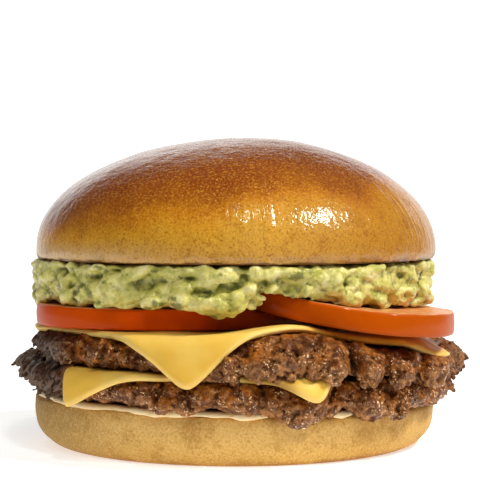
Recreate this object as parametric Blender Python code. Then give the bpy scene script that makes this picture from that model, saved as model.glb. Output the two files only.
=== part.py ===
"""A double cheeseburger standing on its heel: heel, sauce, two smashed beef patties, each under a slice
of cheese, two tomato slices, mashed avocado and a glazed crown, ten pieces stacked with a hair's gap.

Sizes in this file are millimetres, and make_solid turns them into Blender's metres. +Z is up, the origin
is the middle of the heel's flat base, and the shown side faces -Y. Directions round the stack are in
degrees from +X, turning towards +Y, so 270 is the front.
"""

import itertools
import math

import bpy
import numpy as np

MM = 0.001
GAP = 0.35

# Bun
BUN_RADIUS = 54.8
HEEL_HEIGHT = 12.6
HEEL_SLOPE = -0.02
HEEL_CENTRE_X = 0.2
HEEL_BASE_ROUNDING = 8.0
HEEL_TOP_ROUNDING = 1.6
CROWN_BASE = 50.4
CROWN_WIDEST = 53.0
CROWN_TOP = 83.1
CROWN_CENTRE_X = 0.8
CROWN_LEAN = 2.4
CROWN_RIM_TUCK = 1.4

# Patties and sauce
SAUCE_THICKNESS = 1.0
LOWER_PATTY_TOP = 21.5
LOWER_PATTY_RADIUS = 60.6
UPPER_PATTY_TOP = 31.0
UPPER_PATTY_RADIUS = 59.4
UPPER_PATTY_CENTRE_X = 4.5
UPPER_HUMP = (14.0, 13.0, 2.3)
PATTY_EDGE = 4.2
CRAG_SIZE = 7.5
CRAG_DEPTH = 2.6
RIGHT_DROOP = 4.2
DROOP_START_X = 8.0
DROOP_RUN = 50.0

# Cheese
CHEESE_THICKNESS = 1.7
LOWER_CHEESE_SIDES = (70.0, 70.0)
UPPER_CHEESE_SIDES = (87.0, 81.0)
LOWER_CHEESE_CENTRE = (-4.2, -23.1)
UPPER_CHEESE_CENTRE = (0.5, -14.6)
LOWER_CHEESE_SOURCE = (-6.0, 60.0)
UPPER_CHEESE_SOURCE = (UPPER_PATTY_CENTRE_X, 0.01)
LOWER_CHEESE_TURN = -12.0
UPPER_CHEESE_TURN = 33.3
CHEESE_BEND = 5.0
CHEESE_HANG = math.radians(80)

# Tomato
LEFT_TOMATO_CENTRE = (-16.5, -13.0)
LEFT_TOMATO_HALF = (36.5, 32.0)
LEFT_TOMATO_THICKNESS = 5.5
RIGHT_TOMATO_CENTRE = (29.5, -20.0)
RIGHT_TOMATO_HALF = (29.5, 31.5)
RIGHT_TOMATO_THICKNESS = (6.0, 5.7, 5.9)
RIGHT_TOMATO_LEAVES_X = 2.0
RIGHT_TOMATO_SLOPE = 0.25
RIGHT_TOMATO_CURL = 0.0018

# Avocado
AVOCADO_RADIUS = 54.6
AVOCADO_CENTRE_X = -0.5
AVOCADO_EDGE = 2.4
AVOCADO_FRONT_BASE = 39.3
AVOCADO_BACK_BASE = 34.2
AVOCADO_DOLLOP = (266, 6, 2.3)
AVOCADO_COVERED = (5.5, 9.5)
AVOCADO_OPEN_END = ((273.5, 277.0), (296.0, 304.0))
AVOCADO_LUMP = 7.0
AVOCADO_LUMP_DEPTH = 3.4


def hashed(cell, seed):
    """A repeatable value from 0 to 1 for each whole-numbered cell."""
    n = cell[..., 0] * 73856093 ^ cell[..., 1] * 19349663 ^ cell[..., 2] * 83492791
    n = (n + seed * 668265263) & 0x7FFFFFFF
    n = ((n ^ (n >> 13)) * 1274126177) & 0x7FFFFFFF
    n = ((n ^ (n >> 15)) * 5915587277) & 0x7FFFFFFF
    return (n >> 7) / float(1 << 24)


def hills(points, size, seed):
    """Soft hills and hollows from -1 to 1, with `size` between them."""
    place = points / size
    cell = np.floor(place).astype(np.int64)
    share = place - cell
    share = share * share * (3 - 2 * share)
    total = 0.0
    for corner in itertools.product((0, 1), repeat=3):
        nearness = np.where(np.array(corner) == 1, share, 1 - share).prod(axis=-1)
        total = total + nearness * hashed(cell + np.array(corner), seed)
    return 2 * total - 1


def lumps(points, size, seed):
    """Round lumps that meet in creases, like crumbled meat: 1 at a lump's middle, near 0 in a crease."""
    place = points / size
    cell = np.floor(place).astype(np.int64)
    nearest = np.full(place.shape[:-1], 2.0)
    for step in itertools.product((-1, 0, 1), repeat=3):
        other = cell + np.array(step)
        middle = other + np.stack([hashed(other, seed + k) for k in range(3)], axis=-1)
        nearest = np.minimum(nearest, np.linalg.norm(middle - place, axis=-1))
    return 1 - np.clip(nearest, 0, 1)


def fade(value, start, end):
    """0 before start and 1 after end, with a soft change between them."""
    share = np.clip((value - start) / (end - start), 0, 1)
    return share * share * (3 - 2 * share)


def towards(angle, direction, width):
    """1 where the angle points in the direction, fading to 0 past the width. All three are in degrees."""
    apart = (angle - direction + 180) % 360 - 180
    return np.exp(-((apart / width) ** 2))


def directions(count):
    return np.arange(count) * 360.0 / count


def ring(radius, angle, height, centre=(0.0, 0.0)):
    """One row of points round a centre; radius and height may differ from point to point."""
    turn = np.radians(angle)
    points = np.empty((len(angle), 3))
    points[:, 0] = centre[0] + radius * np.cos(turn)
    points[:, 1] = centre[1] + radius * np.sin(turn)
    points[:, 2] = height
    return points


def material_of(name, colour, roughness):
    material = bpy.data.materials.new(name)
    material.use_nodes = True
    shader = material.node_tree.nodes["Principled BSDF"]
    shader.inputs["Base Color"].default_value = (*colour, 1.0)
    shader.inputs["Roughness"].default_value = roughness
    shader.inputs["Metallic"].default_value = 0.0
    material.diffuse_color = (*colour, 1.0)
    return material


def make_solid(name, points, faces, material):
    """One named object from points in millimetres."""
    mesh = bpy.data.meshes.new(name)
    mesh.from_pydata((points * MM).tolist(), [], faces)
    mesh.validate()
    mesh.materials.append(material)
    mesh.shade_smooth()
    solid = bpy.data.objects.new(name, mesh)
    bpy.context.scene.collection.objects.link(solid)
    return solid


def stacked_rings(name, rows, material):
    """A closed solid from rings of points, top ring first. Both ends close on the middle of their ring."""
    count = len(rows[0])
    points = np.concatenate([*rows, [rows[0].mean(axis=0)], [rows[-1].mean(axis=0)]])
    top, bottom = len(points) - 2, len(points) - 1
    last = (len(rows) - 1) * count
    faces = []
    for i in range(count):
        j = (i + 1) % count
        faces.append((top, i, j))
        faces.append((bottom, last + j, last + i))
        for start in range(0, last, count):
            a, b, c, d = start + i, start + count + i, start + count + j, start + j
            faces += [(a, b, c), (a, c, d)]
    return make_solid(name, points, faces, material)


def droop(x):
    """How far both patties sag towards +X, as a share of the whole sag."""
    return np.clip((x - DROOP_START_X) / DROOP_RUN, 0, 1.3) ** 2


def heel_top(x, y):
    """The cut face of the heel, a little higher towards -X."""
    return HEEL_HEIGHT + HEEL_SLOPE * x + 0 * y


def lower_patty_base(x, y):
    return heel_top(x, y) + SAUCE_THICKNESS + 2 * GAP


def lower_patty_top(x, y):
    return LOWER_PATTY_TOP - 0.85 * RIGHT_DROOP * droop(x) + 0 * y


def upper_patty_base(x, y):
    return lower_patty_top(x, y) + CHEESE_THICKNESS + 2 * GAP


def upper_patty_top(x, y):
    """Flat, drooping to the right, with one thick place at the front that lifts the slice on it."""
    middle, width, rise = UPPER_HUMP
    hump = rise * np.exp(-(((x - middle) / width) ** 2)) * fade(y, -38, -50)
    return UPPER_PATTY_TOP - RIGHT_DROOP * droop(x) + hump


def lower_patty_radius(angle):
    """The lower patty's outline: pulled in under the slice's left corner, and uneven all round."""
    wobble = 0.8 * np.sin(np.radians(3 * angle + 40)) + 0.5 * np.sin(np.radians(7 * angle))
    return LOWER_PATTY_RADIUS + wobble - 4.0 * towards(angle, 226, 20) + 1.0 * towards(angle, 180, 10)


def upper_patty_radius(angle):
    """The upper patty's outline: uneven, and pushed out a little behind the slice's front corner."""
    wobble = 0.7 * np.sin(np.radians(4 * angle)) + 0.5 * np.sin(np.radians(9 * angle + 70))
    return UPPER_PATTY_RADIUS + wobble + 0.8 * towards(angle, 256, 14)


def lower_rim_lift(angle):
    """How far the lower patty's rim stands above (+) or hangs below (-) its middle: (top, underside)."""
    flare = towards(angle, 182, 20)
    raised = 3.0 * flare + 1.0 * towards(angle, 236, 22) + 0.9 * towards(angle, 272, 8)
    hanging = 2.8 * towards(angle, 288, 9) + 2.6 * towards(angle, 309, 9)
    hanging = hanging + 1.0 * towards(angle, 20, 25) + 1.2 * towards(angle, 100, 30)
    return 2.4 * flare, raised - hanging


def upper_rim_lift(angle):
    """The same for the upper patty, whose underside stays clear of the lower slice from corner to corner."""
    beside = 1 - fade(angle, 184, 198) * (1 - fade(angle, 313, 327))
    return 0 * angle, 1.0 * towards(angle, 182, 20) - 2.2 * beside


def undercut(angle):
    """How far the underside of a rim is tucked in at the thin burnt ends, which point up and out."""
    return 3.0 * np.maximum(towards(angle, 180, 22), towards(angle, 0, 22))


def patty(name, centre_x, radius_at, rim_lift_at, top_at, base_at, seed, material):
    """A smashed patty: smooth where other layers lie on it, with a rounded, craggy rim."""
    angle = directions(80)
    radius, centre = radius_at(angle), (centre_x, 0.0)
    lift_top, lift_base = rim_lift_at(angle)
    rows = []
    for share, lift in ((0.25, 0), (0.6, 0), (0.75, 0), (0.9, 0), (1.0, lift_top)):
        row = ring((radius - PATTY_EDGE) * share, angle, 0, centre)
        row[:, 2] = top_at(row[:, 0], row[:, 1]) + lift
        rows.append(row)
    for slope in np.radians((55, 22, -12, -45)):
        row = ring(radius - PATTY_EDGE + PATTY_EDGE * math.cos(slope), angle, 0, centre)
        high = top_at(row[:, 0], row[:, 1]) + lift_top
        low = base_at(row[:, 0], row[:, 1]) + lift_base
        row[:, 2] = (high + low) / 2 + (high - low) / 2 * math.sin(slope)
        crag = lumps(row, CRAG_SIZE, seed) - 0.45
        outward = ring(1.0, angle, 0)
        row += outward * (CRAG_DEPTH * crag * math.cos(slope))[:, None]
        row -= outward * (undercut(angle) * np.clip(0.3 - math.sin(slope), 0, 1))[:, None]
        row[:, 2] += np.minimum(0.8 * crag, 0.1) * np.sign(slope)
        rows.append(row)
    for share, lift in ((1.0, lift_base), (0.965, 0), (0.6, 0), (0.25, 0)):
        row = ring((radius - PATTY_EDGE - undercut(angle)) * share, angle, 0, centre)
        row[:, 2] = base_at(row[:, 0], row[:, 1]) + lift
        rows.append(row)
    return stacked_rings(name, rows, material)


def slice_grid(sides, count):
    """Flat points of a square slice with softly rounded corners, row by row, closer near its edges."""
    line = np.linspace(-1, 1, count + 1)
    line += 0.2 * (line - line**3)
    u, v = (axis.ravel() for axis in np.meshgrid(line, line))
    widest = np.maximum(np.abs(u), np.abs(v))
    rounded = (np.abs(u) ** 12 + np.abs(v) ** 12) ** (1 / 12)
    scale = np.where(rounded > 0, widest / np.maximum(rounded, 1e-9), 1) / 2
    return np.stack([u * scale * sides[0], v * scale * sides[1]], axis=1)


def draped(flat, source, patty_centre_x, radius_at, top_at):
    """Where a sheet's flat points go once it has melted over a patty: flat on top, then bent down the rim.

    Each point keeps its distance from the source point, measured along the sheet.
    """
    source, centre = np.array(source), np.array((patty_centre_x, 0.0))
    way = flat - source
    reach = np.linalg.norm(way, axis=1)
    way /= reach[:, None]
    crossing = flat
    for _ in range(4):
        angle = np.degrees(np.arctan2(crossing[:, 1], crossing[:, 0] - patty_centre_x)) % 360
        wall = radius_at(angle) + 0.65 * CRAG_DEPTH + 2 * GAP + CHEESE_THICKNESS / 2
        along = way @ (source - centre)
        wall_reach = np.sqrt(along**2 - np.sum((source - centre) ** 2) + wall**2) - along
        crossing = source + way * wall_reach[:, None]
    rim_reach = wall_reach - CHEESE_BEND
    past = np.maximum(reach - rim_reach, 0)
    bent = np.minimum(past / CHEESE_BEND, CHEESE_HANG)
    hanging = past - bent * CHEESE_BEND
    out = np.minimum(reach, rim_reach) + CHEESE_BEND * np.sin(bent) + hanging * math.cos(CHEESE_HANG)
    down = CHEESE_BEND * (1 - np.cos(bent)) + hanging * math.sin(CHEESE_HANG)
    on_top = source + way * np.minimum(reach, rim_reach)[:, None]
    points = np.empty((len(flat), 3))
    points[:, :2] = source + way * out[:, None]
    points[:, 2] = top_at(on_top[:, 0], on_top[:, 1]) + GAP + CHEESE_THICKNESS / 2 - down
    return points


def cheese_slice(name, sides, centre, turn, source, patty_centre_x, radius_at, top_at, material):
    """A thin square slice, bent over the patty that it lies on, both faces split into triangles alike."""
    count = 16
    spin = math.radians(turn)
    flat = slice_grid(sides, count) @ np.array(
        [[math.cos(spin), math.sin(spin)], [-math.sin(spin), math.cos(spin)]]
    ) + np.array(centre)
    middle = draped(flat, source, patty_centre_x, radius_at, top_at).reshape(count + 1, count + 1, 3)
    normal = np.cross(np.gradient(middle, axis=1), np.gradient(middle, axis=0))
    normal /= np.linalg.norm(normal, axis=2, keepdims=True)
    half = normal * CHEESE_THICKNESS / 2
    points = np.concatenate([(middle + half).reshape(-1, 3), (middle - half).reshape(-1, 3)])
    under = (count + 1) ** 2
    number = np.arange(under).reshape(count + 1, count + 1)
    faces = []
    for i, j in itertools.product(range(count), repeat=2):
        a, b, c, d = number[i, j], number[i, j + 1], number[i + 1, j + 1], number[i + 1, j]
        faces += [(a, b, c), (a, c, d)]
        faces += [(under + a, under + c, under + b), (under + a, under + d, under + c)]
    edge = [*number[0], *number[1:, -1], *number[-1, -2::-1], *number[-2:0:-1, 0]]
    for a, b in zip(edge, edge[1:] + edge[:1]):
        faces += [(a, under + a, under + b), (a, under + b, b)]
    return make_solid(name, points, [tuple(int(i) for i in face) for face in faces], material)


def left_tomato_base(x, y):
    return UPPER_PATTY_TOP + CHEESE_THICKNESS + 2 * GAP + 0 * x * y


def right_tomato_fall(x):
    """How far the right slice's underside has come down since it left the flat top of the left slice."""
    past = x - RIGHT_TOMATO_LEAVES_X
    return RIGHT_TOMATO_SLOPE * past - RIGHT_TOMATO_CURL * past**2


def left_tomato_top(x, y):
    """Flat, but pressed down into a wedge where the right slice leans on it."""
    return left_tomato_base(x, y) + LEFT_TOMATO_THICKNESS - np.maximum(right_tomato_fall(x), 0)


def right_tomato_base(x, y):
    """The right slice leans on the left one and slopes down to the patty's rim, curling up a little."""
    start = left_tomato_base(x, y) + LEFT_TOMATO_THICKNESS + 1.4 * GAP
    return start - right_tomato_fall(x)


def right_tomato_top(x, y):
    """The right slice is cut unevenly: thin where it leans on the left one, thick at its far end."""
    thin, middle, thick = RIGHT_TOMATO_THICKNESS
    thickness = thin + (middle - thin) * fade(x, 0, 14) + (thick - middle) * fade(x, 30, 58)
    return right_tomato_base(x, y) + thickness


def tomato_slice(name, centre, half, base_at, top_at, material):
    """A slice with the skin as its slightly bulging side and crisp cut edges."""
    angle = directions(44)
    turn = np.radians(angle)
    outline = 1 + 0.012 * np.sin(3 * turn + centre[0]) + 0.008 * np.sin(5 * turn)
    rows = []
    profile = ((0.5, 1.0), (0.975, 1.0), (0.992, 0.93), (1.0, 0.5), (0.988, 0.07), (0.97, 0.0), (0.5, 0.0))
    for share, height in profile:
        row = np.zeros((len(angle), 3))
        row[:, 0] = centre[0] + half[0] * share * outline * np.cos(turn)
        row[:, 1] = centre[1] + half[1] * share * outline * np.sin(turn)
        low, high = base_at(row[:, 0], row[:, 1]), top_at(row[:, 0], row[:, 1])
        row[:, 2] = low + (high - low) * height
        rows.append(row)
    return stacked_rings(name, rows, material)


def outside_slice(x, y, centre, half):
    """About how many millimetres a point lies outside a tomato slice; negative inside it."""
    share = np.hypot((x - centre[0]) / half[0], (y - centre[1]) / half[1])
    return (share - 1) * min(half)


def avocado_base(x, y):
    """The mash lies on both slices, sinks behind them, and one dollop hangs between them at the front.

    It stays clear of the right slice's near end, which shows under it from the front.
    """
    floor = AVOCADO_FRONT_BASE + (AVOCADO_BACK_BASE - AVOCADO_FRONT_BASE) * fade(y, -5, 20)
    floor = floor - (1.5 + 1.5 * fade(y, -5, 20)) * droop(x)
    around = np.degrees(np.arctan2(y, x)) % 360
    reach = np.hypot(x, y)
    direction, width, depth = AVOCADO_DOLLOP
    floor = floor - depth * towards(around, direction, width) * fade(reach, 44, 50)
    opening, closing = AVOCADO_OPEN_END
    open_end = fade(around, *opening) * (1 - fade(around, *closing)) * fade(reach, 25, 35)
    base = floor
    for centre, half, top_at, clear in (
        (LEFT_TOMATO_CENTRE, LEFT_TOMATO_HALF, left_tomato_top, 0.0),
        (RIGHT_TOMATO_CENTRE, RIGHT_TOMATO_HALF, right_tomato_top, open_end),
    ):
        covered = 1 - fade(outside_slice(x, y, centre, half), *AVOCADO_COVERED)
        covered = np.maximum(covered, clear)
        base = np.maximum(base, floor + (top_at(x, y) + 1.5 * GAP - floor) * covered)
    return base


def avocado_mash(name, material):
    """A thick uneven layer whose side is broken into lumps of the size of crushed avocado."""
    angle = directions(76)
    radius = AVOCADO_RADIUS + 0.9 * np.sin(np.radians(5 * angle)) + 0.6 * np.sin(np.radians(11 * angle))
    centre = (AVOCADO_CENTRE_X, 0.0)
    inner, high = radius - AVOCADO_EDGE, CROWN_BASE - GAP
    rows = [ring(inner * share, angle, high, centre) for share in (0.6, 1.0)]
    for slope in np.radians((55, 22, -12, -45)):
        row = ring(inner + AVOCADO_EDGE * math.cos(slope), angle, 0, centre)
        low = avocado_base(row[:, 0], row[:, 1])
        row[:, 2] = (high + low) / 2 + (high - low) / 2 * math.sin(slope)
        swell = lumps(row, AVOCADO_LUMP, 5) - 0.45
        row += ring(1.0, angle, 0) * (AVOCADO_LUMP_DEPTH * swell)[:, None]
        rows.append(row)
    for share in np.arange(1.0, 0.0, -0.09):
        row = ring(inner * share, angle, 0, centre)
        row[:, 2] = avocado_base(row[:, 0], row[:, 1])
        rows.append(row)
    return stacked_rings(name, rows, material)


def crown(name, material):
    """The upper half of the bun: half an ellipsoid with a short skirt and a flat cut face."""
    angle = directions(60)
    rise = CROWN_TOP - CROWN_WIDEST
    rows = []
    for climb in np.radians((86, 72, 59, 47, 35, 23, 11, 0)):
        row = ring(BUN_RADIUS * math.cos(climb), angle, CROWN_WIDEST + rise * math.sin(climb))
        row[:, 0] += CROWN_CENTRE_X + CROWN_LEAN * math.sin(climb) ** 8
        swell = 0.45 * hills(row, 30.0, 3) * math.cos(climb)
        rows.append(row + ring(1.0, angle, 0) * swell[:, None])
    skirt = CROWN_WIDEST - CROWN_BASE
    for turned in np.radians((40, 75)):
        inset = CROWN_RIM_TUCK * (1 - math.cos(turned))
        row = ring(BUN_RADIUS - inset, angle, CROWN_WIDEST - skirt * math.sin(turned))
        row[:, 0] += CROWN_CENTRE_X
        rows.append(row)
    rows.append(ring(BUN_RADIUS - 2.6, angle, CROWN_BASE, (CROWN_CENTRE_X, 0.0)))
    rows.append(ring(BUN_RADIUS * 0.5, angle, CROWN_BASE, (CROWN_CENTRE_X, 0.0)))
    return stacked_rings(name, rows, material)


def heel(name, material):
    """The lower half of the bun: a cut top, an upright wall and a rounded foot, rounder at both sides."""
    angle = directions(60)
    radius, centre = BUN_RADIUS - 0.3, (HEEL_CENTRE_X, 0.0)
    rows = []
    for inset, down in ((radius / 2, 0), (2.0, 0), (0.5, HEEL_TOP_ROUNDING)):
        row = ring(radius - inset, angle, 0, centre)
        row[:, 2] = heel_top(row[:, 0], row[:, 1]) - down
        rows.append(row)
    sideways = np.cos(np.radians(angle))
    foot = 4.0 + 4.0 * sideways**2 + 0.5 * (1 - sideways)
    for slope in np.radians((0, 28, 58, 90)):
        out = radius - foot * (1 - math.cos(slope))
        rows.append(ring(out, angle, HEEL_BASE_ROUNDING * (1 - math.sin(slope)), centre))
    return stacked_rings(name, rows, material)


def sauce_layer(name, material):
    """Sauce pressed out in an uneven line: in places it bulges past the heel's edge."""
    angle = directions(56)
    bulge = towards(angle, 226, 22) + 0.8 * towards(angle, 250, 8) + 0.9 * towards(angle, 270, 12)
    bulge = bulge + 0.7 * towards(angle, 20, 20) + 0.8 * towards(angle, 120, 25)
    radius, centre = BUN_RADIUS - 1.6 + 2.2 * np.clip(bulge, 0, 1), (HEEL_CENTRE_X, 0.0)
    lip = 1.0 * np.clip(bulge, 0, 1)
    rows = []
    for inset, up in (
        (20.0, SAUCE_THICKNESS), (1.4, SAUCE_THICKNESS), (0.3, 0.8), (0.0, 0.2 - lip / 2),
        (0.4, -lip), (1.2, -lip * 0.5), (3.4, 0.0), (20.0, 0.0),
    ):
        row = ring(radius - inset, angle, 0, centre)
        row[:, 2] = heel_top(row[:, 0], row[:, 1]) + GAP + up
        rows.append(row)
    return stacked_rings(name, rows, material)


def clear_scene():
    for leftover in list(bpy.data.objects):
        bpy.data.objects.remove(leftover)


def build():
    clear_scene()
    bread = material_of("heel_bread", (0.62, 0.40, 0.15), 0.75)
    glaze = material_of("glazed_crust", (0.50, 0.22, 0.04), 0.35)
    sauce = material_of("sauce", (0.78, 0.56, 0.33), 0.4)
    meat = material_of("beef", (0.15, 0.065, 0.03), 0.6)
    cheese = material_of("cheese", (0.78, 0.46, 0.07), 0.4)
    tomato = material_of("tomato", (0.45, 0.05, 0.005), 0.3)
    avocado = material_of("avocado", (0.50, 0.50, 0.16), 0.45)

    lower = (0.0, lower_patty_radius)
    upper = (UPPER_PATTY_CENTRE_X, upper_patty_radius)
    heel("heel", bread)
    sauce_layer("sauce", sauce)
    patty("patty_lower", *lower, lower_rim_lift, lower_patty_top, lower_patty_base, 11, meat)
    cheese_slice(
        "cheese_lower", LOWER_CHEESE_SIDES, LOWER_CHEESE_CENTRE, LOWER_CHEESE_TURN, LOWER_CHEESE_SOURCE,
        *lower, lower_patty_top, cheese,
    )
    patty("patty_upper", *upper, upper_rim_lift, upper_patty_top, upper_patty_base, 29, meat)
    cheese_slice(
        "cheese_upper", UPPER_CHEESE_SIDES, UPPER_CHEESE_CENTRE, UPPER_CHEESE_TURN, UPPER_CHEESE_SOURCE,
        *upper, upper_patty_top, cheese,
    )
    tomato_slice(
        "tomato_left", LEFT_TOMATO_CENTRE, LEFT_TOMATO_HALF, left_tomato_base, left_tomato_top, tomato
    )
    tomato_slice(
        "tomato_right", RIGHT_TOMATO_CENTRE, RIGHT_TOMATO_HALF, right_tomato_base, right_tomato_top, tomato
    )
    avocado_mash("avocado", avocado)
    crown("crown", glaze)


build()
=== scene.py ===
"""Looks for the double cheeseburger: food shapes over the fixed frame, materials, light and camera.

Shapes are worked out in millimetres and scaled to metres as each mesh is made. +Z is up, the side that
the photo shows faces -Y, and directions round the stack are in degrees from +X, turning towards +Y.
"""

import itertools
import math

import bmesh
import bpy
import numpy as np
from mathutils import Euler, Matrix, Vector
from mathutils.bvhtree import BVHTree


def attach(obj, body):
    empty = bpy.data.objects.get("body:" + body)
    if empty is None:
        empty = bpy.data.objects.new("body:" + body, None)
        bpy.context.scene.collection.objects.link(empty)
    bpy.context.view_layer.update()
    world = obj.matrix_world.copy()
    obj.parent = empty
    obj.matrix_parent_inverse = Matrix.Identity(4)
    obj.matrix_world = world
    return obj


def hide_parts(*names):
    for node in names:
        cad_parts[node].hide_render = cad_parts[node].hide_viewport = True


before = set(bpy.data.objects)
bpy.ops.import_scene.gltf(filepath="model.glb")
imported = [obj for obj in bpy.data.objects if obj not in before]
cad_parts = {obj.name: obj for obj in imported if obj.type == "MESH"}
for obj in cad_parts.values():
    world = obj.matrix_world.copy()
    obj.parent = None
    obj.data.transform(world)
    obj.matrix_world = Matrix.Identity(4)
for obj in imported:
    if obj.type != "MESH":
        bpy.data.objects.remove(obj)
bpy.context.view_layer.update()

MM = 0.001
# Noise is worked out on slanted axes, so that none of its rows lie along a piece
SLANTED_AXES = np.array(Euler((0.6, 0.5, 0.8)).to_matrix())
MOST_TRIANGLES = 190000

# Camera, in millimetres. In the photo: its middle line, the level of the eye, how many pixels make a slope
# of 1, and how long a pixel is at the front of the stack
PHOTO_MIDDLE_X = 233.5
PHOTO_EYE_Y = 185.0
PIXELS_PER_SLOPE = 1905.0
FRONT_PIXEL = 0.252
CAMERA_PLACE = (1.8, -524.0, 70.2)
CAMERA_PITCH = math.radians(-1.65)
CAMERA_LENS = 142.9

# Bun
BUN_RADIUS = 54.8
HEEL_HEIGHT = 12.6
HEEL_SLOPE = -0.02
HEEL_CENTRE_X = 0.2
HEEL_BASE_ROUNDING = 8.0
CROWN_BASE = 50.4
CROWN_WIDEST = 53.0
CROWN_TOP = 83.1
CROWN_CENTRE_X = 0.8
CROWN_LEAN = 2.4
CROWN_RIM_TUCK = 1.4

# Sauce: where it comes out, by direction, half width and share of the whole bulge. Its upper side is given
# by distance in from the edge and height, its lower side by that distance and share of the lip's drop
SAUCE_BULGES = ((224, 26, 1.0), (250, 7, 0.9), (271, 11, 1.2), (299, 4, 0.8), (20, 20, 0.7), (120, 25, 0.8))
SAUCE_UPPER_SIDE = (
    (44.0, 1.0), (20.0, 1.0), (6.0, 1.0), (2.4, 1.05), (1.3, 1.15), (0.6, 1.0), (0.15, 0.6), (0.0, 0.1),
)
SAUCE_LOWER_SIDE = (
    (0.05, 0.5), (0.25, 0.85), (0.6, 1.0), (1.2, 0.8), (2.0, 0.3), (3.6, 0.0), (20.0, 0.0),
)

# Patties. The hump has a place across, a half width and a rise. Crumbs start RIM_START from the middle, and
# faces that point up or down more than LEVEL bear none
LOWER_PATTY_TOP = 21.5
LOWER_PATTY_RADIUS = 60.6
UPPER_PATTY_TOP = 31.0
UPPER_PATTY_RADIUS = 59.4
UPPER_PATTY_CENTRE_X = 4.5
UPPER_HUMP = (14.0, 13.0, 2.3)
RIGHT_DROOP = 4.2
DROOP_START_X = 8.0
DROOP_RUN = 50.0
RIM_START = 52.5
LEVEL = 0.985
MEAT_SKIN = 0.42
LOBE_CRUMBS = 620
# Clumps, nodules and grains: how many, smallest and largest radius, share of it sunk in, and fineness
RIM_CRUMBS = ((130, 2.4, 3.9, 0.66, 2), (800, 1.1, 1.9, 0.40, 2), (2400, 0.5, 0.85, 0.0, 1))

# Cheese
GAP = 0.35
CRAG_DEPTH = 2.6
CHEESE_THICKNESS = 1.7
CHEESE_EDGE = 1.1
CHEESE_BEND = 5.0
CHEESE_HANG = math.radians(80)
# The tuck's place across and half width, and where it starts and ends towards the front
TUCK_ACROSS = (19, 8)
TUCK_FORWARD = (-36, -52)
# Where along X the sag comes in, and where the corner itself drops once more
SAG_ACROSS = (22, 38)
CORNER_ACROSS = (41, 49)
# A slice spreads from its source. It hardly passes its left edge, its front edge is drawn back by the tuck
# near the right of the tip, and the sag lets its right corner hang lower
LOWER_CHEESE = {
    "sides": (70.0, 70.0), "centre": (-4.2, -23.1), "turn": -12.0, "source": (-6.0, 60.0),
    "left_edge": -41.9, "tuck": 0.0, "sag": 0.0,
}
UPPER_CHEESE = {
    "sides": (87.0, 81.0), "centre": (0.5, -14.6), "turn": 33.3, "source": (UPPER_PATTY_CENTRE_X, 0.01),
    "left_edge": -52.6, "tuck": 1.2, "sag": 1.5,
}

# Avocado
AVOCADO_SIDE = 55.2
AVOCADO_FRONT_BASE = 39.3
AVOCADO_BACK_BASE = 34.2
AVOCADO_SKIN = 0.45

# Tomato. The right slice has its own thickness at the left end, in the middle and at the right end
LEFT_TOMATO_CENTRE = (-16.5, -13.0)
LEFT_TOMATO_HALF = (36.5, 32.0)
LEFT_TOMATO_BASE = UPPER_PATTY_TOP + CHEESE_THICKNESS + 2 * GAP
LEFT_TOMATO_THICKNESS = 5.5
RIGHT_TOMATO_CENTRE = (29.5, -20.0)
RIGHT_TOMATO_HALF = (29.5, 31.5)
RIGHT_TOMATO_THICKNESS = (6.0, 5.7, 5.9)
RIGHT_TOMATO_LEAVES_X = 2.0
RIGHT_TOMATO_SLOPE = 0.25
RIGHT_TOMATO_CURL = 0.0018


# Noise


def hashed(cell, seed):
    """A repeatable value from 0 to 1 for each whole-numbered cell."""
    n = cell[..., 0] * 73856093 ^ cell[..., 1] * 19349663 ^ cell[..., 2] * 83492791
    n = (n + seed * 668265263) & 0x7FFFFFFF
    n = ((n ^ (n >> 13)) * 1274126177) & 0x7FFFFFFF
    n = ((n ^ (n >> 15)) * 5915587277) & 0x7FFFFFFF
    return (n >> 7) / float(1 << 24)


def hills(points, size, seed):
    """Soft hills and hollows from -1 to 1, with `size` between them."""
    place = points @ SLANTED_AXES / size
    cell = np.floor(place).astype(np.int64)
    share = place - cell
    share = share * share * (3 - 2 * share)
    total = 0.0
    for corner in itertools.product((0, 1), repeat=3):
        nearness = np.where(np.array(corner) == 1, share, 1 - share).prod(axis=-1)
        total = total + nearness * hashed(cell + np.array(corner), seed)
    return 2 * total - 1


def lumps(points, size, seed):
    """Round lumps that meet in creases: 1 at a lump's middle, near 0 in a crease."""
    place = points / size
    cell = np.floor(place).astype(np.int64)
    nearest = np.full(place.shape[:-1], 2.0)
    for step in itertools.product((-1, 0, 1), repeat=3):
        other = cell + np.array(step)
        middle = other + np.stack([hashed(other, seed + k) for k in range(3)], axis=-1)
        nearest = np.minimum(nearest, np.linalg.norm(middle - place, axis=-1))
    return 1 - np.clip(nearest, 0, 1)


def fade(value, start, end):
    """0 before start and 1 after end, with a soft change between them."""
    share = np.clip((value - start) / (end - start), 0, 1)
    return share * share * (3 - 2 * share)


def bell(away):
    """1 where nothing is away, fading to 0 past 1 on both sides."""
    return np.exp(-(away**2))


def towards(angle, direction, width):
    """1 where the angle points in the direction, fading to 0 past the width. All three are in degrees."""
    return bell(((angle - direction + 180) % 360 - 180) / width)


def directions(count):
    return np.arange(count) * 360.0 / count


def angle_of(points):
    return np.degrees(np.arctan2(points[:, 1], points[:, 0])) % 360


def reach_of(points, middle_x=0.0):
    return np.hypot(points[:, 0] - middle_x, points[:, 1])


def outward_of(points, middle_x=0.0):
    """Level directions from the stack's middle line to the points."""
    turn = np.radians(angle_of(points - [middle_x, 0, 0]))
    return np.stack([np.cos(turn), np.sin(turn), 0 * turn], axis=1)


# Meshes


def added(name, data):
    """A new object in the scene."""
    thing = bpy.data.objects.new(name, data)
    bpy.context.scene.collection.objects.link(thing)
    return thing


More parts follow.
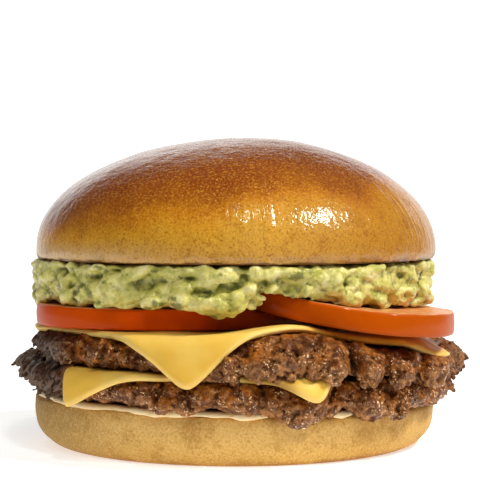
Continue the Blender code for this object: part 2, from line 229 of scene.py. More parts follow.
def make_piece(name, points, faces, node):
    """A smooth-shaded object from points in millimetres, standing for one node of the frame."""
    mesh = bpy.data.meshes.new(name)
    mesh.from_pydata((points * MM).tolist(), [], faces)
    mesh.validate()
    mesh.shade_smooth()
    piece = added(name, mesh)
    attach(piece, "root")
    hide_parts(node)
    return piece


def ring(radius, angle, height, centre_x=0.0):
    """One row of points round a centre; radius and height may differ from point to point."""
    turn = np.radians(angle)
    points = np.empty((len(angle), 3))
    points[:, 0] = centre_x + radius * np.cos(turn)
    points[:, 1] = radius * np.sin(turn)
    points[:, 2] = height
    return points


def closed_rings(rows):
    """(points, faces) of a closed shape from rings of points, top ring first."""
    points = np.concatenate([*rows, [rows[0].mean(axis=0)], [rows[-1].mean(axis=0)]])
    count = len(rows[0])
    top, last = len(rows) * count, (len(rows) - 1) * count
    faces = []
    for i in range(count):
        j = (i + 1) % count
        faces += [(top, i, j), (top + 1, last + j, last + i)]
        faces += [(k + i, k + count + i, k + count + j, k + j) for k in range(0, last, count)]
    return points, faces


def read_rows(items, kind):
    """What the mesh keeps for each of these items, three numbers a row."""
    values = np.empty(len(items) * 3, np.float32)
    items.foreach_get(kind, values)
    return values.reshape(-1, 3).astype(float)


def points_of(mesh):
    return read_rows(mesh.vertices, "co") / MM


def normals_of(mesh):
    return read_rows(mesh.vertex_normals, "vector")


def move_points(mesh, points):
    mesh.vertices.foreach_set("co", (points * MM).astype(np.float32).ravel())
    mesh.update()


def push_out(mesh, distance):
    """Moves each point outwards by its own distance."""
    move_points(mesh, points_of(mesh) + normals_of(mesh) * distance[:, None])


def smoothed(mesh, values, steps):
    """Values or points of the mesh, averaged with their neighbours' again and again."""
    ends = np.empty(len(mesh.edges) * 2, np.int32)
    mesh.edges.foreach_get("vertices", ends)
    a, b = ends.reshape(-1, 2).T
    size = len(mesh.vertices)
    count = np.bincount(a, minlength=size) + np.bincount(b, minlength=size)
    values = values.reshape(size, -1)
    for _ in range(steps):
        sums = [np.bincount(a, column[b], size) + np.bincount(b, column[a], size) for column in values.T]
        values = (values + np.stack(sums, axis=1) / count[:, None]) / 2
    return values


def hollows(mesh, steps):
    """How deep each point lies below its surroundings, in millimetres; negative on a lump."""
    points = points_of(mesh)
    return np.sum((smoothed(mesh, points, steps) - points) * normals_of(mesh), axis=1)


def store(mesh, name, values):
    """Keeps one number per point, for the material to read."""
    layer = mesh.attributes.new(name, "FLOAT", "POINT")
    layer.data.foreach_set("value", values.astype(np.float32))


def frame_copy(node):
    """(points in millimetres, triangles) of one node of the frame."""
    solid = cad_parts[node]
    mesh = solid.data
    mesh.calc_loop_triangles()
    points = np.array([solid.matrix_world @ vertex.co for vertex in mesh.vertices]) / MM
    triangles = np.array([triangle.vertices for triangle in mesh.loop_triangles])
    return points, triangles


def even_spots(points, triangles, count, seed, beyond=-1.0, level=2.0, middle_x=0.0, burnt=-1.0):
    """(places, outward directions) spread evenly over triangles, going round the stack.

    They lie further out than `beyond`, face up or down less than `level` and are more burnt than `burnt`.
    """
    a, b, c = points[triangles].transpose(1, 0, 2)
    middle = points[triangles].mean(axis=1)
    cross = np.cross(b - a, c - a)
    area = np.linalg.norm(cross, axis=1)
    normal = cross / np.maximum(area, 1e-9)[:, None]
    wanted = (reach_of(middle, middle_x) > beyond) & (np.abs(normal[:, 2]) < level) & (area > 1e-6)
    chosen = np.flatnonzero(wanted & (charred(middle) > burnt))
    chosen = chosen[np.argsort(angle_of(middle[chosen]))]
    draw = np.random.default_rng(seed)
    marks = (np.arange(count) + draw.random(count)) / count * area[chosen].sum()
    picked = chosen[np.minimum(np.searchsorted(np.cumsum(area[chosen]), marks), len(chosen) - 1)]
    u, v = draw.random(count), draw.random(count)
    over = u + v > 1
    u[over], v[over] = 1 - u[over], 1 - v[over]
    places = a[picked] + (b - a)[picked] * u[:, None] + (c - a)[picked] * v[:, None]
    return places, normal[picked]


def copies(shapes, faces):
    """One (points, triangles) pair from many shapes that share their faces."""
    count, size, _ = shapes.shape
    return shapes.reshape(-1, 3), (faces[None] + (np.arange(count) * size)[:, None, None]).reshape(-1, 3)


def ball(detail):
    """(points, triangles) of a ball of radius 1."""
    shape = bmesh.new()
    bmesh.ops.create_icosphere(shape, subdivisions=detail, radius=1.0)
    points = np.array([vertex.co[:] for vertex in shape.verts])
    triangles = np.array([[vertex.index for vertex in face.verts] for face in shape.faces])
    shape.free()
    return points, triangles


def crumbs(places, radii, squash, seed, detail=2):
    """(points, triangles) of rounded crumbs, each turned and stretched at random."""
    unit, triangles = ball(detail)
    draw = np.random.default_rng(seed)
    count = len(places)
    stretch = draw.uniform(1 - squash, 1 + squash, (count, 3))
    turn = np.linalg.qr(draw.normal(size=(count, 3, 3)))[0]
    shaped = np.einsum("nij,npj->npi", turn, unit[None] * stretch[:, None])
    rough = 1 + 0.16 * hills(shaped + 7.3 * np.arange(count)[:, None, None], 0.8, seed)[..., None]
    return copies(places[:, None] + shaped * rough * radii[:, None, None], triangles)


def joined(parts):
    """One (points, triangles) pair from several."""
    start, all_points, all_faces = 0, [], []
    for points, faces in parts:
        all_points.append(points)
        all_faces.append(faces + start)
        start += len(points)
    return np.concatenate(all_points), np.concatenate(all_faces)


def skinned(piece, voxel):
    """Melts the piece's overlapping parts into one closed skin, made of cells of this size."""
    remesh = piece.modifiers.new("skin", "REMESH")
    remesh.mode = "VOXEL"
    remesh.voxel_size = voxel * MM
    remesh.use_smooth_shade = True
    bake(piece)


def thinned(piece, most):
    """Keeps about this many triangles, most of them where the surface is uneven."""
    decimate = piece.modifiers.new("thin", "DECIMATE")
    decimate.ratio = min(1.0, most / (2.0 * len(piece.data.vertices)))
    bake(piece)


def bake(piece):
    """Turns the piece's modifiers into mesh."""
    graph = bpy.context.evaluated_depsgraph_get()
    baked = bpy.data.meshes.new_from_object(piece.evaluated_get(graph))
    piece.modifiers.clear()
    piece.data = baked
    baked.name = piece.name
    baked.shade_smooth()


# Shape rules shared by the layers


def on_photo(pixel_x, pixel_y, radius, centre_x=0.0):
    """The point on an upright cylinder that the photo shows at a pixel, and how long a pixel is there."""
    slope = (pixel_x - PHOTO_MIDDLE_X) / PIXELS_PER_SLOPE
    _, eye_y, eye_z = CAMERA_PLACE
    depth = -eye_y - radius
    for _ in range(8):
        across = np.clip(slope * depth, centre_x - radius * 0.995, centre_x + radius * 0.995)
        depth = -eye_y - math.sqrt(radius**2 - (across - centre_x) ** 2)
    pixel = depth / PIXELS_PER_SLOPE
    return np.array([across, eye_y + depth, eye_z - (pixel_y - PHOTO_EYE_Y) * pixel]), pixel


def flat_lumps(places, wide, high, deep, seed, detail=3):
    """Soft lumps, each wider than high, lying against the side of the stack."""
    unit, faces = ball(detail)
    out_way = outward_of(places)
    round_way = out_way[:, [1, 0, 2]] * [-1, 1, 1]
    up_way = np.array([0.0, 0.0, 1.0])
    tilt = np.random.default_rng(seed).normal(0, 0.22, (len(places), 1))
    long_way = round_way * np.cos(tilt) + up_way * np.sin(tilt)
    short_way = up_way * np.cos(tilt) - round_way * np.sin(tilt)
    shape = (
        unit[None, :, :1] * (long_way * wide[:, None])[:, None]
        + unit[None, :, 1:2] * (out_way * deep[:, None])[:, None]
        + unit[None, :, 2:] * (short_way * high[:, None])[:, None]
    )
    rough = 1 + 0.3 * hills(shape + 9.1 * np.arange(len(places))[:, None, None], 2.6, seed)[..., None]
    return copies(places[:, None] + shape * rough, faces)


def photo_lumps(table, radius, centre_x, deeper, seed):
    """Lumps on an upright cylinder, at places read off the photo."""
    places, pixels = zip(*[on_photo(pixel_x, pixel_y, radius, centre_x) for pixel_x, pixel_y, _, _ in table])
    wide, high = np.array(table)[:, 2:].T * np.array(pixels) * 1.06
    return flat_lumps(np.array(places), wide, high, 0.9 * high + deeper, seed)


def droop(points):
    """How far both patties sag towards +X, as a share of the whole sag."""
    return np.clip((points[:, 0] - DROOP_START_X) / DROOP_RUN, 0, 1.3) ** 2


def heel_top(points):
    """The cut face of the heel, a little higher towards -X."""
    return HEEL_HEIGHT + HEEL_SLOPE * points[:, 0]


def lower_patty_top(points):
    return LOWER_PATTY_TOP - 0.85 * RIGHT_DROOP * droop(points)


def upper_patty_top(points):
    """Flat, drooping to the right, with one thick place at the front that lifts the slice on it."""
    middle, width, rise = UPPER_HUMP
    hump = rise * bell((points[:, 0] - middle) / width) * fade(points[:, 1], -38, -50)
    return UPPER_PATTY_TOP - RIGHT_DROOP * droop(points) + hump


def lower_patty_radius(angle):
    wobble = 0.8 * np.sin(np.radians(3 * angle + 40)) + 0.5 * np.sin(np.radians(7 * angle))
    return LOWER_PATTY_RADIUS + wobble - 4.0 * towards(angle, 226, 20) + 1.0 * towards(angle, 180, 10)


def upper_patty_radius(angle):
    wobble = 0.7 * np.sin(np.radians(4 * angle)) + 0.5 * np.sin(np.radians(9 * angle + 70))
    return UPPER_PATTY_RADIUS + wobble + 0.8 * towards(angle, 256, 14)


def right_tomato_fall(points):
    """How far the right slice's underside has come down since it left the flat top of the left slice."""
    past = points[:, 0] - RIGHT_TOMATO_LEAVES_X
    return RIGHT_TOMATO_SLOPE * past - RIGHT_TOMATO_CURL * past**2


def left_tomato_base(points):
    return np.full(len(points), LEFT_TOMATO_BASE)


def left_tomato_top(points):
    """Flat, but pressed down into a wedge where the right slice leans on it."""
    return LEFT_TOMATO_BASE + LEFT_TOMATO_THICKNESS - np.maximum(right_tomato_fall(points), 0)


def right_tomato_base(points):
    return LEFT_TOMATO_BASE + LEFT_TOMATO_THICKNESS + 1.4 * GAP - right_tomato_fall(points)


def right_tomato_top(points):
    thin, middle, thick = RIGHT_TOMATO_THICKNESS
    swell = (middle - thin) * fade(points[:, 0], 0, 14) + (thick - middle) * fade(points[:, 0], 30, 58)
    return right_tomato_base(points) + thin + swell


# Crown and heel


def crown():
    """The glazed crown: half an ellipsoid with faint dents, and a soft skirt round the cut face."""
    angle = directions(400)
    rise, skirt = CROWN_TOP - CROWN_WIDEST, CROWN_WIDEST - CROWN_BASE
    rows = []
    for climb in np.radians(np.linspace(89, 0, 84)):
        radius, height = BUN_RADIUS * math.cos(climb), CROWN_WIDEST + rise * math.sin(climb)
        rows.append(ring(radius, angle, height, CROWN_CENTRE_X + CROWN_LEAN * math.sin(climb) ** 8))
    for turned in np.radians(np.linspace(10, 90, 9)):
        inset = CROWN_RIM_TUCK * (1 - math.cos(turned))
        height = CROWN_WIDEST - skirt * math.sin(turned)
        rows.append(ring(BUN_RADIUS - inset, angle, height, CROWN_CENTRE_X))
    for inset in (1.9, 2.6, 4.0, 8.0, 20.0, 40.0):
        rows.append(ring(BUN_RADIUS - inset, angle, CROWN_BASE, CROWN_CENTRE_X))
    points, faces = closed_rings(rows)
    mesh = make_piece("crown_top", points, faces, "crown").data
    swell = 0.35 * hills(points, 30.0, 3) + 0.14 * hills(points, 11.0, 4) + 0.07 * hills(points, 4.5, 6)
    rim_shreds = 0.5 * fade(CROWN_BASE + 2.6 - points[:, 2], 0, 2.4) * hills(points, 2.2, 8)
    push_out(mesh, (swell + rim_shreds) * (points[:, 2] > CROWN_BASE + 0.3))
    store_crust_directions(mesh)
    mesh.materials.append(crown_material())


def store_crust_directions(mesh):
    """Keeps coordinates that run round the bun and up it, for streaks that follow its shape."""
    points = points_of(mesh)
    directed = outward_of(points) * BUN_RADIUS
    directed[:, 2] = np.arctan2(points[:, 2] - CROWN_WIDEST, reach_of(points)) * BUN_RADIUS
    layer = mesh.attributes.new("round_and_up", "FLOAT_VECTOR", "POINT")
    layer.data.foreach_set("vector", directed.astype(np.float32).ravel())


def heel_ring(radius, angle, above):
    """A ring that lies this far above the heel's cut face."""
    row = ring(radius, angle, 0, HEEL_CENTRE_X)
    row[:, 2] = heel_top(row) + above
    return row


def heel():
    """The heel: a soft-edged cut face, a slightly bulging wall and a rounded foot."""
    angle, radius = directions(360), BUN_RADIUS - 0.3
    sideways = np.cos(np.radians(angle))
    foot = 4.0 + 4.0 * sideways**2 + 0.5 * (1 - sideways)
    rows = []
    for inset, down in ((40, 0), (20, 0), (8, 0), (4, 0), (1.6, 0.0), (0.9, 0.1), (0.4, 0.4), (0.1, 0.9)):
        rows.append(heel_ring(radius - inset, angle, -down))
    for height in np.linspace(10.0, HEEL_BASE_ROUNDING + 0.5, 4):
        rows.append(ring(radius, angle, height, HEEL_CENTRE_X))
    for slope in np.radians(np.linspace(0, 90, 22)):
        out = radius - foot * (1 - math.cos(slope))
        rows.append(ring(out, angle, HEEL_BASE_ROUNDING * (1 - math.sin(slope)), HEEL_CENTRE_X))
    rows += [ring(out, angle, 0.0, HEEL_CENTRE_X) for out in (40.0, 15.0)]
    points, faces = closed_rings(rows)
    mesh = make_piece("heel_bun", points, faces, "heel").data
    wall = fade(reach_of(points), 46, 52) * fade(points[:, 2], 0.2, 2.0)
    swell = 0.5 * hills(points, 17.0, 21) + 0.25 * hills(points, 6.0, 22) + 0.1 * hills(points, 2.4, 23)
    push_out(mesh, swell * wall)
    mesh.materials.append(heel_material())


def sauce():
    """Sauce squeezed out between the heel and the lower patty, in an uneven wavy lip."""
    angle = directions(720)
    bulge = sum(share * towards(angle, direction, width) for direction, width, share in SAUCE_BULGES)
    bulge = np.clip(bulge, 0, 1.2)
    edge = ring(BUN_RADIUS, angle, 0)
    waves = 1.1 * hills(edge, 6.0, 31) + 0.6 * hills(edge, 2.6, 32)
    radius = BUN_RADIUS - 1.6 + 2.3 * bulge + 0.5 * waves
    lip = 0.6 * bulge + 0.5 * waves * bulge
    rows = [heel_ring(radius - inset, angle, GAP + up) for inset, up in SAUCE_UPPER_SIDE]
    rows += [heel_ring(radius - inset, angle, GAP - lip * drop) for inset, drop in SAUCE_LOWER_SIDE]
    rows.append(ring(10.0, angle, HEEL_HEIGHT + GAP, HEEL_CENTRE_X))
    points, faces = closed_rings(rows)
    make_piece("sauce_lip", points, faces, "sauce").data.materials.append(sauce_material())


# Patties

# What shapes each patty's rim, in photo pixels where it was read off the photo:
# clefts between the lobes of the front, by place across, slant, depth and half width in millimetres
# lobes that hang from the rim, by middle, half width and half height in pixels, all set in by lobe_inset
# arches of the underside, by place across, rise and half width in millimetres
# raised, one place where the top edge is lifted or pressed down, by direction, half width and rise
LOWER_RIM = {
    "seed": 11,
    "clefts": (
        (114, -0.2, 1.5, 1.1), (160, 0.3, 1.6, 1.1), (190, -0.3, 1.5, 1.1), (218, 0.2, 1.6, 1.2),
        (262, -0.2, 1.8, 1.2), (334, 0.3, 2.6, 1.4), (404, 0.3, 1.8, 1.2), (378, -0.2, 1.0, 1.0),
    ),
    "lobes": (
        (187, 404, 10, 9), (160, 402, 9, 8), (300, 412, 12, 11), (372, 406, 13, 11), (398, 406, 10, 10),
    ),
    "lobe_inset": 3.0,
    "arches": ((346, 2.6, 2.4), (210, 0.7, 3.0)),
    "raised": (212, 11, 2.0),
}
UPPER_RIM = {
    "seed": 29,
    "clefts": (
        (103, 0.3, 1.6, 1.2), (130, 0.2, 1.3, 1.0), (238, -0.3, 1.2, 1.0), (352, -0.5, 3.4, 1.7),
        (386, 0.2, 1.8, 1.2), (427, 0.1, 1.8, 1.2), (306, 0.4, 1.0, 1.0),
    ),
    "lobes": (
        (186, 363, 11, 10), (206, 368, 11, 11), (231, 369, 12, 12), (257, 368, 11, 11), (284, 369, 13, 12),
        (310, 368, 11, 11), (333, 369, 12, 12), (372, 374, 12, 11), (404, 373, 11, 10), (434, 374, 12, 9),
        (62, 350, 10, 8), (106, 353, 10, 9),
    ),
    "lobe_inset": 1.3,
    "arches": (),
    "raised": (321, 16, -2.6),
}


def charred(points):
    """1 at the thin burnt ends of both patties, on the left and at the far right."""
    wander = 5.0 * hills(points, 9.0, 71)
    return np.maximum(fade(points[:, 0] + wander, -36, -47), fade(points[:, 0] + 0.6 * wander, 56, 62))


def nodules(points, size, seed):
    """Rounder lumps than plain ones, with narrow creases between them."""
    return 1 - 1.3 * (1 - lumps(points, size, seed)) ** 2


def meat_crumbs(slim, triangles, middle_x, seed):
    """Clumps, nodules and grains of minced meat all over the rim of a patty, small at the burnt ends."""
    draw = np.random.default_rng(seed)
    parts = []
    for count, small, large, sink, detail in RIM_CRUMBS:
        spot_seed = int(draw.integers(1 << 30))
        places, normals = even_spots(slim, triangles, count, spot_seed, RIM_START, LEVEL, middle_x)
        radii = draw.uniform(small, large, count) * (1 - 0.6 * charred(places))
        parts.append(crumbs(places - normals * (radii * sink)[:, None], radii, 0.3, seed + count, detail))
    return parts


def fibres(slim, triangles, middle_x, seed):
    """Thin burnt shreds that lie along the ends of a patty and stick out of them here and there."""
    count = 170
    places, normals = even_spots(slim, triangles, count, seed, 53, LEVEL, middle_x, burnt=0.3)
    draw = np.random.default_rng(seed)
    side = np.sign(places[:, 0])
    along = np.stack([-0.75 * side, draw.normal(0, 0.2, count), np.full(count, 0.7)], axis=1)
    along = along + draw.normal(0, 0.16, (count, 3)) + normals * draw.uniform(-0.2, 0.12, count)[:, None]
    along = (along / np.linalg.norm(along, axis=1, keepdims=True))[:, None]
    unit, faces = ball(2)
    length = draw.uniform(1.3, 3.2, count)[:, None, None]
    width = draw.uniform(0.36, 0.7, count)[:, None, None]
    ahead = np.sum(unit * along, axis=2, keepdims=True)
    shreds = (unit - ahead * along) * width + ahead * along * length
    return copies((places - 0.1 * normals * width[:, 0])[:, None] + shreds, faces)


def grooves(points, places):
    """Depth of the clefts between the lobes of a patty's front: each runs up the side, a little slanted."""
    x, y, z = points.T
    depth = np.zeros(len(points))
    for pixel_x, slant, deep, width in places:
        middle = (pixel_x - PHOTO_MIDDLE_X) * FRONT_PIXEL
        apart = x - middle - slant * (z - z.mean()) + 0.7 * hills(points, 3.0, pixel_x)
        depth = np.maximum(depth, deep * bell(apart / width))
    return depth * fade(y, -25, -35)


def rim_lobes(lobes, radius, middle_x, seed):
    """The lobes that the photo shows, with crumbs all over them."""
    lobe_points, lobe_faces = photo_lumps(lobes, radius, middle_x, -0.5, seed)
    places, normals = even_spots(lobe_points, lobe_faces, LOBE_CRUMBS, seed + 1)
    radii = np.random.default_rng(seed + 1).uniform(0.5, 1.25, LOBE_CRUMBS)
    grains = crumbs(places - normals * (0.2 * radii)[:, None], radii, 0.3, seed + 2)
    return [(lobe_points, lobe_faces), grains]


def patty_parts(node, top_at, lobes, lobe_inset, raised, seed):
    """The frame's disc, drawn in a little at its rim, and all that is melted onto it."""
    core, triangles = frame_copy(node)
    middle_x = (core[:, 0].min() + core[:, 0].max()) / 2
    reach = reach_of(core, middle_x)
    slim = core - outward_of(core, middle_x) * fade(reach, 50, 57)[:, None]
    direction, width, rise = raised
    near_top = fade(top_at(core) - core[:, 2], 4.5, 1.0) * fade(reach, 46, 52)
    slim[:, 2] += rise * near_top * towards(angle_of(core), direction, width)
    parts = [(slim, triangles), *meat_crumbs(slim, triangles, middle_x, seed)]
    parts.append(fibres(slim, triangles, middle_x, seed + 5))
    parts += rim_lobes(lobes, reach.max() - lobe_inset, middle_x, seed + 6)
    return middle_x, parts


def arched(points, rim, below, arches):
    """Lifts the underside of a patty's front at the arches."""
    for pixel_x, rise, half_width in arches:
        apart = points[:, 0] - (pixel_x - PHOTO_MIDDLE_X) * FRONT_PIXEL
        arch = bell(apart / half_width) * (points[:, 1] < 0)
        points[:, 2] += rise * rim * fade(below, 3.5, 7.5) * arch
    return points


def patty(name, node, top_at, cheese_above, cheese_below, seed, clefts, lobes, lobe_inset, arches, raised):
    """A smashed patty: the frame's disc with a rim of fused crumbs and burnt, shredded ends."""
    middle_x, parts = patty_parts(node, top_at, lobes, lobe_inset, raised, seed)
    points, faces = joined(parts)
    piece = make_piece(name, points, faces.tolist(), node)
    skinned(piece, MEAT_SKIN)
    points, normals = points_of(piece.data), normals_of(piece.data)
    burnt = charred(points)
    rim = fade(reach_of(points, middle_x), 49, 54)
    grain = 0.5 * (nodules(points, 2.7, seed + 1) - 0.6) + 0.55 * (nodules(points, 1.3, seed + 2) - 0.6)
    shreds = points @ np.array([[0.30, 0.0, 1.0], [0.0, 1.0, 0.0], [0.26, 0.0, -0.9]])
    ridges = 0.9 * (0.5 - np.abs(hills(shreds, 1.3, seed + 3)))
    points = points + normals * (rim * (grain * (1 - burnt) + ridges * burnt))[:, None]
    points[:, 1] += rim * grooves(points, clefts)
    points = arched(points, rim, top_at(points) - points[:, 2], arches)
    points = kept_off(points, rim, cheese_above, -1)
    if cheese_below is not None:
        points = kept_off(points, rim, cheese_below, 1)
    move_points(piece.data, points)
    thinned(piece, MOST_TRIANGLES)
    points = points_of(piece.data)
    store(piece.data, "hollow", hollows(piece.data, 4))
    store(piece.data, "basin", hollows(piece.data, 24))
    store(piece.data, "burnt", charred(points))
    store(piece.data, "below_top", top_at(points) - points[:, 2])
    piece.data.materials.append(MATERIALS["beef"])


def kept_off(points, rim, sheet, side):
    """Moves the points of a rim that would come through a slice of cheese back off it.

    They stay above the slice where `side` is 1, and below it where `side` is -1.
    """
    clear, beside, search = 0.12, 0.3, 3.5
    mesh = sheet.data
    half = len(mesh.vertices) // 2
    sheet_points = points_of(mesh) * MM
    faces = [tuple(face.vertices) for face in mesh.polygons]
    facing = [face for face in faces if (max(face) < half if side > 0 else min(face) >= half)]
    surface = BVHTree.FromPolygons(sheet_points.tolist(), facing)
    lowest, highest = sheet_points[:, 2].min() / MM - 2, sheet_points[:, 2].max() / MM + 2
    for i in np.flatnonzero((rim > 0) & (points[:, 2] > lowest) & (points[:, 2] < highest)):
        place = Vector(points[i] * MM)
        nearest, normal, _, distance = surface.find_nearest(place, search * MM)
        if nearest is None:
            continue
        inside = (place - nearest).dot(normal) / MM
        aside = (distance / MM) ** 2 - inside**2
        if inside < clear and aside < beside**2:
            points[i] += np.array(normal) * (clear - inside)
    return points


# Cheese


def slice_grid(sides, count):
    """Flat points of a square slice with softly rounded corners, row by row."""
    line = np.linspace(-1, 1, count + 1)
    u, v = (axis.ravel() for axis in np.meshgrid(line, line))
    widest = np.maximum(np.abs(u), np.abs(v))
    rounded = (np.abs(u) ** 18 + np.abs(v) ** 18) ** (1 / 18)
    scale = np.where(rounded > 0, widest / np.maximum(rounded, 1e-9), 1) / 2
    return np.stack([u * scale * sides[0], v * scale * sides[1]], axis=1)


def draped(flat, source, patty_centre_x, radius_at, top_at):
    """Where a sheet's flat points go once it has melted over a patty and bent down its rim."""
    source, centre = np.array(source), np.array((patty_centre_x, 0.0))
    way = flat - source
    reach = np.linalg.norm(way, axis=1)
    way /= reach[:, None]
    crossing = flat
    for _ in range(4):
        angle = np.degrees(np.arctan2(crossing[:, 1], crossing[:, 0] - patty_centre_x)) % 360
        wall = radius_at(angle) + 0.65 * CRAG_DEPTH + 2 * GAP + CHEESE_THICKNESS / 2
        along = way @ (source - centre)
        wall_reach = np.sqrt(along**2 - np.sum((source - centre) ** 2) + wall**2) - along
        crossing = source + way * wall_reach[:, None]
    rim_reach = wall_reach - CHEESE_BEND
    past = np.maximum(reach - rim_reach, 0)
    bent = np.minimum(past / CHEESE_BEND, CHEESE_HANG)
    hanging = past - bent * CHEESE_BEND
    out = np.minimum(reach, rim_reach) + CHEESE_BEND * np.sin(bent) + hanging * math.cos(CHEESE_HANG)
    down = CHEESE_BEND * (1 - np.cos(bent)) + hanging * math.sin(CHEESE_HANG)
    on_top = source + way * np.minimum(reach, rim_reach)[:, None]
    points = np.empty((len(flat), 3))
    points[:, :2] = source + way * out[:, None]
    points[:, 2] = top_at(on_top) + GAP + CHEESE_THICKNESS / 2 - down
    return points


def sagged(flat, patty_centre_x, radius_at, top_at, source, left_edge, tuck, sag):
    """The middle of a slice once it has sagged over its patty."""
    flat[:, 1] += tuck * towards(flat[:, 0], *TUCK_ACROSS) * fade(flat[:, 1], *TUCK_FORWARD)
    middle = draped(flat, source, patty_centre_x, radius_at, top_at)
    x, _, z = middle.T
    x[:] = np.maximum(x, left_edge + 0.25 * (x - left_edge))
    rim_side = fade(reach_of(middle, patty_centre_x), 45, 60)
    waves = 1 + 0.35 * np.cos((x - 37) * 0.42)
    z -= sag * rim_side * (fade(x, *SAG_ACROSS) * waves + 0.9 * fade(x, *CORNER_ACROSS))
    return middle + 0.3 * np.stack([hills(middle, 9.0, 41 + k) for k in range(3)], axis=1)


def sheet_faces(count):
    """Quads of a square sheet's upper and lower side, and of its edge, with `count` steps a side."""
    under = (count + 1) ** 2
    number = np.arange(under).reshape(count + 1, count + 1).tolist()
    faces = []
    for i, j in itertools.product(range(count), repeat=2):
        a, b, c, d = number[i][j], number[i][j + 1], number[i + 1][j + 1], number[i + 1][j]
        faces += [(a, b, c, d), (under + d, under + c, under + b, under + a)]
    number = np.array(number)
    edge = [*number[0], *number[1:, -1], *number[-1, -2::-1], *number[-2:0:-1, 0]]
    edge = [int(i) for i in edge]
    return faces + [(a, under + a, under + b, b) for a, b in zip(edge, edge[1:] + edge[:1])]


def cheese(name, node, patty_centre_x, radius_at, top_at, sides, centre, turn, **hang):
    """A soft slice that sags over the patty below it, with rounded, slightly wavy edges."""
    count = 96
    spin = math.radians(turn)
    turned = np.array([[math.cos(spin), math.sin(spin)], [-math.sin(spin), math.cos(spin)]])
    flat = slice_grid(sides, count) @ turned + np.array(centre)
    middle = sagged(flat, patty_centre_x, radius_at, top_at, **hang).reshape(count + 1, count + 1, 3)
    normal = np.cross(np.gradient(middle, axis=1), np.gradient(middle, axis=0))
    normal = normal / np.linalg.norm(normal, axis=2, keepdims=True)
    line = np.minimum(np.arange(count + 1), np.arange(count + 1)[::-1]) * sides[0] / count
    inward = np.minimum(line[:, None], line[None, :])
    bead = np.sqrt(np.clip(1 - (1 - np.clip(inward / CHEESE_EDGE, 0, 1)) ** 2, 0.03, 1))
    half = normal * (CHEESE_THICKNESS / 2 * bead)[..., None]
    points = np.concatenate([(middle + half).reshape(-1, 3), (middle - half).reshape(-1, 3)])
    piece = make_piece(name, points, sheet_faces(count), node)
    store(piece.data, "from_edge", np.tile(inward.ravel(), 2))
    piece.data.materials.append(MATERIALS["cheese"])
    return piece


# Tomato


def tomato(name, node, centre, half, base_at, top_at, seed):
    """A slice: bulging glossy skin at the side, wet flesh on both cut faces."""
    angle = directions(300)
    turn = np.radians(angle)
    outline = 1 + 0.012 * np.sin(3 * turn + centre[0]) + 0.008 * np.sin(5 * turn)
    # Each row: share of the slice's half width, share of its height, and how much it is cut flesh
    profile = [(share, 1.0, 1.0) for share in (0.1, 0.25, 0.4, 0.55, 0.7, 0.82, 0.9, 0.94, 0.965)]
    profile += [(0.975, 0.998, 0.95), (0.982, 0.988, 0.5), (0.987, 0.968, 0.1), (0.990, 0.94, 0.0)]
    profile += [(0.991 + 0.007 * math.sin(math.pi * t), 1 - t, 0.0) for t in np.linspace(0.08, 0.92, 13)]
    profile += [(0.988, 0.05, 0.0), (0.984, 0.02, 0.2), (0.977, 0.004, 0.45)]
    profile += [(share, 0.0, 0.45) for share in (0.96, 0.9, 0.7, 0.4, 0.1)]
    rows, flesh = [], []
    for share, height, cut in profile:
        row = ring(share * outline, angle, 0) * [*half, 1] + [*centre, 0]
        row[:, 2] = base_at(row) + (top_at(row) - base_at(row)) * height
        rows.append(row)
        flesh += [cut] * len(angle)
    points, faces = closed_rings(rows)
    flesh = np.array(flesh + [1.0, 0.45])
    mesh = make_piece(name, points, faces, node).data
    skin_swell, flesh_swell = 0.25 * hills(points, 14.0, seed), 0.18 * hills(points, 4.0, seed + 1)
    push_out(mesh, skin_swell * (1 - flesh) + flesh_swell * flesh)
    store(mesh, "flesh", flesh)
    mesh.materials.append(MATERIALS["tomato"])


# Avocado

# Lumps the photo shows: middle in photo pixels, then half width and half height in pixels
FRONT_LUMPS = (
    (50, 275, 15, 9), (46, 291, 12, 10), (90, 272, 10, 6), (72, 296, 11, 8), (97, 290, 13, 9),
    (118, 296, 11, 8), (155, 300, 14, 9), (183, 300, 15, 8), (205, 281, 14, 8), (228, 277, 16, 8),
    (222, 302, 24, 12), (203, 304, 17, 9), (238, 301, 11, 10), (184, 288, 12, 7), (262, 274, 14, 8),
    (290, 273, 15, 7), (311, 274, 12, 7), (247, 292, 11, 9), (272, 287, 11, 5), (333, 283, 15, 11),
    (307, 291, 6, 6), (368, 274, 19, 7), (381, 285, 17, 7), (351, 297, 14, 8), (378, 300, 13, 7),
    (408, 273, 13, 7), (424, 268, 8, 8), (406, 293, 12, 9), (422, 287, 9, 10), (135, 273, 15, 6),
    (165, 271, 14, 6), (62, 285, 9, 6),
)
# Dark hollows between them, with the same four values
FRONT_HOLLOWS = (
    (54, 269, 10, 3), (48, 297, 6, 4), (90, 277, 12, 5), (140, 284, 8, 4), (160, 282, 8, 4),
    (204, 293, 9, 4), (296, 287, 11, 4), (351, 285, 5, 5), (411, 298, 4, 6), (431, 280, 9, 8),
    (34, 289, 6, 6), (34, 263, 8, 4), (112, 271, 9, 3), (188, 279, 8, 3),
)
HOLLOW_DEPTH = 2.6


